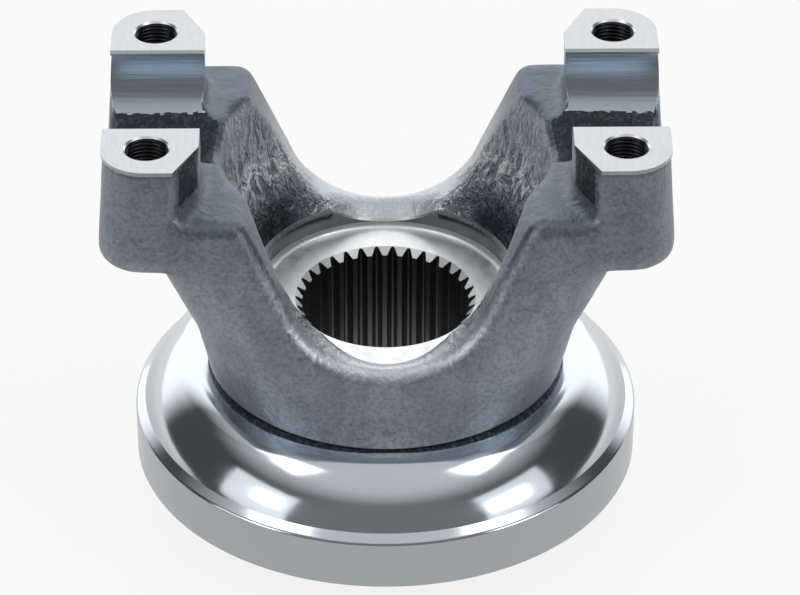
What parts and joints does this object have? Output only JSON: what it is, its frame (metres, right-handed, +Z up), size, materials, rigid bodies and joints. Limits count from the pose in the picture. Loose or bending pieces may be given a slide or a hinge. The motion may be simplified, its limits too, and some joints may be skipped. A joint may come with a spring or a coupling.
{
  "type": "forged yoke",
  "caption": "Forged steel end yoke: forked ears with half-round bearing seats and tapped pads, on a splined hub with a pressed slinger ring round its foot.",
  "frame": {"origin": "centre of the nose's end face, the lowest point of the part", "axes": "+Z up the splined bore to the tapped pads, X along the two bearing seats, Y through the channel between the arms"},
  "size_m": [0.1726, 0.1588, 0.1418],
  "materials": {
    "forged_steel": "as forged and lightly shot-blasted, bright where it is machined",
    "pressed_steel": "polished pressed sheet"
  },
  "bodies": {
    "root": {"yoke": "forged_steel", "dust_slinger": "pressed_steel"}
  },
  "joints": []
}
